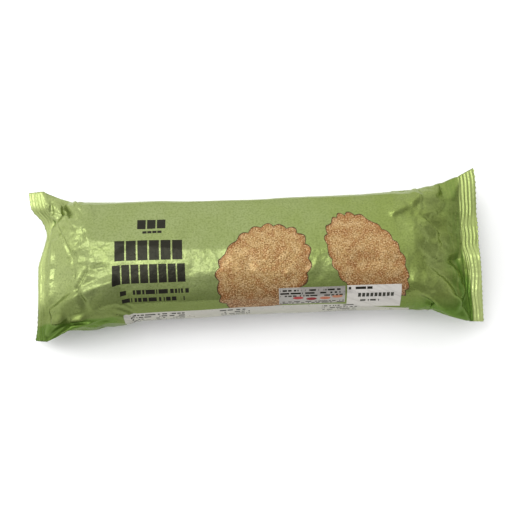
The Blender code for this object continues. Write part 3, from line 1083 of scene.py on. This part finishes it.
def fromMiddle(along, across, shape):
    # How far out a point of a biscuit is, 1 at the scalloped edge
    turn = math.radians(shape["turn"])
    x, y = along - shape["x"], across - shape["y"]
    u = (x * math.cos(turn) + y * math.sin(turn)) / shape["long"]
    v = (y * math.cos(turn) - x * math.sin(turn)) / shape["short"]
    angle = v.math("ARCTAN2", u)
    scale, strength = crumb["swing"]
    swing = u.vector(v, shape["x"]).noise(scale, 1.0) * strength
    least, more = crumb["depthRange"]
    depth = v.vector(u, shape["y"]).blots(*crumb["depth"]) * more + least
    lobe = (angle * (shape["lobes"] / 2) + swing).math("SINE").math("ABSOLUTE")
    scale, stretch, strength = crumb["wobble"]
    wobble = (u * stretch).vector(v * stretch, shape["x"]).noise(scale, 1.0) * strength - strength / 2
    reach = (u * u + v * v).math("SQRT")
    return reach / (lobe * depth * shape["cut"] + wobble + (1.0 - shape["cut"]))


def printedBiscuits(colour, metal, along, across, flat):
    # Speckled crumb, browned in patches and round the scalloped edge, with painted shade towards the near
    # side and the right end
    speckles, pits = (flat.noise(*crumb[name]) for name in ("speckles", "pits"))
    browned = flat.blots(*crumb["browned"])
    scale, strength = crumb["ragged"]
    for shape in crumb["rounds"]:
        out = fromMiddle(along, across, shape)
        edge = out + flat.noise(scale) * strength - strength / 2
        toastedAndShaded = browned * crumb["toastedPatches"] + edge.wash(*crumb["toastedEdge"])
        # Painted shade towards the near side and the right end
        toastedAndShaded = toastedAndShaded + across.wash(*crumb["crumbShadeNear"]) + along.wash(*crumb["crumbShadeRight"])
        inside = colour.layered(
            ("crumb", 1.0),
            ("toastAndShade", toastedAndShaded.math("MINIMUM", 1.0)),
            ("rimAndShade", across.wash(*crumb["shadedNear"])),
            ("sugar", pits.wash(*crumb["paleSpots"])),
            ("toastAndShade", pits.wash(*crumb["brownSpots"])),
            ("rimAndShade", edge.wash(*crumb["darkEdge"]) * browned),
            ("rimAndShade", speckles.wash(*crumb["darkSpeckles"])),
            ("sugar", speckles.wash(*crumb["paleSpeckles"])),
            ("black", out.wash(*crumb["outline"])),
        )
        mask = out.below(1.0)
        colour = colour.covered(inside, mask)
        metal = metal + mask * crumb["metal"]
    return colour, metal


panels = {
    # Left, right, bottom and top
    "strip": (-74.5, 88.0, -82.0, -38.0),
    "stripSlant": (40.0, 86.0, 6.5),      # its top edge falls away along the pack
    "stripMetal": -0.35,
    "facts": (13.7, 50.8, -37.0, -24.4),
    "date": (51.8, 82.3, -42.0, -24.2),
    "panelMetal": -0.3,
    "sheenScale": (0.5, 0.9, 0.12, 0.5),  # painted sheen, slanted streaks: along, across, depth and noise scale
    "paintedSheen": (0.45, 0.7),
    "sheenShare": 0.4,
    "spots": ((24.4, -31.6), (31.9, -32.6), (39.6, -32.2), (46.4, -31.2)),
    "spotSize": (3.0, 1.25),
    # Left, right, bottom, top, how many blocks, and how much of each step is block
    "blocks": (
        (-77.0, -38.5, -5.2, 6.2, 6, 0.86),
        (-78.5, -37.4, -17.8, -7.4, 8, 0.86),
        (-64.5, -48.0, 13.6, 19.6, 3, 0.86),
        (-61.5, -50.5, 10.6, 12.2, 4, 0.86),
        (58.0, 78.5, -32.6, -29.3, 9, 0.72),
    ),
    "blockSlack": 0.2,                    # so that a row's last block is whole
    # Left, right, bottom, top, from line to line, how much of that is line, and a seed
    "fineLines": (
        (-77.8, -36.0, -24.2, -21.6, 9.0, 1.0, 1.0),
        (-74.0, -39.0, -28.6, -26.2, 9.0, 1.0, 2.0),
        (14.4, 50.2, -30.4, -24.9, 1.8, 0.6, 3.0),
        (14.4, 50.2, -36.6, -34.2, 1.2, 0.6, 9.0),
        (52.8, 66.0, -26.8, -25.2, 9.0, 1.0, 5.0),
        (57.5, 70.0, -36.6, -35.0, 9.0, 1.0, 6.0),
        (-71.0, -40.0, -78.0, -39.0, 2.2, 0.55, 20.0),
        (-20.0, -3.0, -78.0, -39.0, 2.2, 0.5, 40.0),
        (38.0, 58.0, -78.0, -39.0, 2.2, 0.45, 60.0),
    ),
    "runScale": (0.31, 7.3, 3.1),         # how far each line's noise is from the next one's
    "runsAbove": 0.36,                    # less leaves longer runs
    "stroke": 0.65,                       # length of the shortest mark
    "strokesAbove": 0.3,
    "markMetal": -0.5,
}


def inBox(along, across, left, right, bottom, top):
    return along.between(left, right) * across.between(bottom, top)


def blockRow(along, across, left, right, bottom, top, count, filled):
    place = (along - left) / ((right - left + panels["blockSlack"]) / count)
    return inBox(along, across, left, right, bottom, top) * place.math("FRACT").below(filled)


def fineLines(along, across, left, right, bottom, top, pitch, filled, seed):
    # Thin lines broken into short runs of small marks
    line = (across - bottom) / pitch
    number = line.math("FLOOR") + seed
    alongScale, shift, depth = panels["runScale"]
    run = (along * alongScale + number * shift).vector(number * depth)
    inRun = run.noise(1.0, 0.0).above(panels["runsAbove"])
    stroke = (along / panels["stroke"]).math("FLOOR").vector(number)
    inStroke = stroke.dice().above(panels["strokesAbove"])
    inLine = line.math("FRACT").below(filled)
    return inBox(along, across, left, right, bottom, top) * inLine * inRun * inStroke


def panelsAndMarks(colour, metal, along, across):
    # The pale strip down the near side, two small panels, one with painted sheen, and dark blocks and lines
    strip = inBox(along, across + along.wash(*panels["stripSlant"]), *panels["strip"])
    facts, date = (inBox(along, across, *panels[name]) for name in ("facts", "date"))
    alongScale, acrossScale, depth, scale = panels["sheenScale"]
    # Painted sheen: darker slanted streaks on the date panel stand in for its reflections
    streaks = (along * alongScale + across * acrossScale).vector(along * depth).noise(scale, 1.0)
    paintedSheen = streaks.wash(*panels["paintedSheen"], panels["sheenShare"])
    colour = colour.layered(("white", strip), ("labelAndSheen", facts), ("panel", date), ("labelAndSheen", date * paintedSheen))
    wide, high = panels["spotSize"]
    for (x, y), ink in zip(panels["spots"], inks["spots"]):
        u, v = (along - x) / wide, (across - y) / high
        colour = colour.covered(ink, (u * u + v * v).below(1.0))
    marks = sum(blockRow(along, across, *row) for row in panels["blocks"])
    marks = marks + sum(fineLines(along, across, *row) for row in panels["fineLines"])
    marks = marks.math("MINIMUM", 1.0)
    metal = metal + strip * panels["stripMetal"] + (facts + date) * panels["panelMetal"]
    metal = (metal + marks * panels["markMetal"]).math("MAXIMUM", 0.0)
    return colour.layered(("black", marks)), metal


foil = {
    "rough": (0.12, 3.0, 0.5, 0.3, 0.7),  # blots of duller film
    "roughness": (0.27, 0.08),            # least, and how much more in the blots
    "crinkles": (0.16, 3.0, 0.55),
    "crinkleHeight": 0.7,
    "drawn": (0.5, 2.0),                  # finer ones, drawn out along the pack
    "drawnStretch": 0.5,
    "drawnHeight": 0.22,
    "bump": 0.6,
    "bumpHeight": 0.0012,
    "specular": 0.3,
    "coat": 0.08,
    "coatRoughness": 0.15,
}


def crinkled(tree, along, across, flat):
    # Fine crinkles in the film, finer than its mesh
    drawn = (along * foil["drawnStretch"]).vector(across).noise(*foil["drawn"])
    height = flat.noise(*foil["crinkles"]) * foil["crinkleHeight"] + drawn * foil["drawnHeight"]
    bump = tree.nodes.new("ShaderNodeBump")
    bump.inputs["Strength"].default_value = foil["bump"]
    bump.inputs["Distance"].default_value = foil["bumpHeight"]
    tree.links.new(height.socket, bump.inputs["Height"])
    return bump.outputs[0]


def filmMaterial():
    material = bpy.data.materials.new("printedFilm")
    material.use_nodes = True
    tree = material.node_tree
    shader = tree.nodes["Principled BSDF"]
    uv = tree.nodes.new("ShaderNodeUVMap")
    uv.uv_map = "flatFilm"
    split = tree.nodes.new("ShaderNodeSeparateXYZ")
    tree.links.new(uv.outputs[0], split.inputs[0])
    low, high = filmEnds
    along = Wire(tree, split.outputs[0]) * float(high - low) + float(low - greenFilm["middle"])
    across = girth / 4 - Wire(tree, split.outputs[1]) * girth
    flat = along.vector(across)

    colour = greenGround(tree, along, across, flat)
    colour, metal = hedgeAndSeals(colour, greenFilm["metal"], along, across)
    colour, metal = printedBiscuits(colour, metal, along, across, flat)
    colour, metal = panelsAndMarks(colour, metal, along, across)
    least, more = foil["roughness"]
    rough = flat.blots(*foil["rough"]) * more + least
    tree.links.new(colour.socket, shader.inputs["Base Color"])
    tree.links.new(metal.socket, shader.inputs["Metallic"])
    tree.links.new(rough.socket, shader.inputs["Roughness"])
    tree.links.new(crinkled(tree, along, across, flat), shader.inputs["Normal"])
    shader.inputs["Specular IOR Level"].default_value = foil["specular"]
    shader.inputs["Specular Tint"].default_value = (*inks["edge"], 1.0)
    shader.inputs["Coat Weight"].default_value = foil["coat"]
    shader.inputs["Coat Roughness"].default_value = foil["coatRoughness"]
    print("film printed", len(tree.nodes), "nodes")
    return material


light = {
    "room": (0.45, 1.5),             # dimmest and brightest part of the white surroundings
    "brightSide": (-0.5, 0.72, 0.48),
    "roomSpan": (-0.6, 0.95),        # how far towards that side it is dimmest and brightest
    "aim": (0.0, 0.0, 0.02),         # of both lamps
    "overhead": {"place": (-0.22, 0.02, 0.96), "size": (0.5, 0.34), "power": 1.9},
    "left": {"place": (-0.85, 0.24, 0.66), "size": (0.5, 0.5), "power": 2.6},
}


def addLights():
    world = bpy.data.worlds.new("studio")
    world.use_nodes = True
    tree = world.node_tree
    direction = tree.nodes.new("ShaderNodeTexCoord").outputs["Generated"]
    split = tree.nodes.new("ShaderNodeSeparateXYZ")
    tree.links.new(direction, split.inputs[0])
    facing = sum(Wire(tree, axis) * weight for axis, weight in zip(split.outputs, light["brightSide"]))
    dim, bright = light["room"]
    strength = facing.wash(*light["roomSpan"], bright - dim) + dim
    background = tree.nodes["Background"]
    background.inputs["Color"].default_value = (1, 1, 1, 1)
    tree.links.new(strength.socket, background.inputs["Strength"])
    bpy.context.scene.world = world
    for name in ("overhead", "left"):
        data = bpy.data.lights.new(name, "AREA")
        data.shape = "RECTANGLE"
        data.size, data.size_y = light[name]["size"]
        data.energy = light[name]["power"]
        lamp = inScene(name, data)
        lamp.location = light[name]["place"]
        look = Vector(light["aim"]) - lamp.location
        lamp.rotation_euler = look.to_track_quat("-Z", "Y").to_euler()


floorLook = {
    "reach": 3.0,
    "colour": (0.94, 0.94, 0.94, 1.0),
    "roughness": 0.9,
}


def addFloor():
    mesh = bpy.data.meshes.new("floor")
    reach = floorLook["reach"]
    corners = [(-reach, -reach, 0), (reach, -reach, 0), (reach, reach, 0), (-reach, reach, 0)]
    mesh.from_pydata(corners, [], [(0, 1, 2, 3)])
    floor = inScene("floor", mesh)
    material = bpy.data.materials.new("paleFloor")
    material.use_nodes = True
    shader = material.node_tree.nodes["Principled BSDF"]
    shader.inputs["Base Color"].default_value = floorLook["colour"]
    shader.inputs["Roughness"].default_value = floorLook["roughness"]
    mesh.materials.append(material)


pack.data.materials.append(filmMaterial())
addCamera()
addLights()
addFloor()
bpy.context.scene.view_settings.view_transform = "Standard"
print("camera, lights and floor placed")
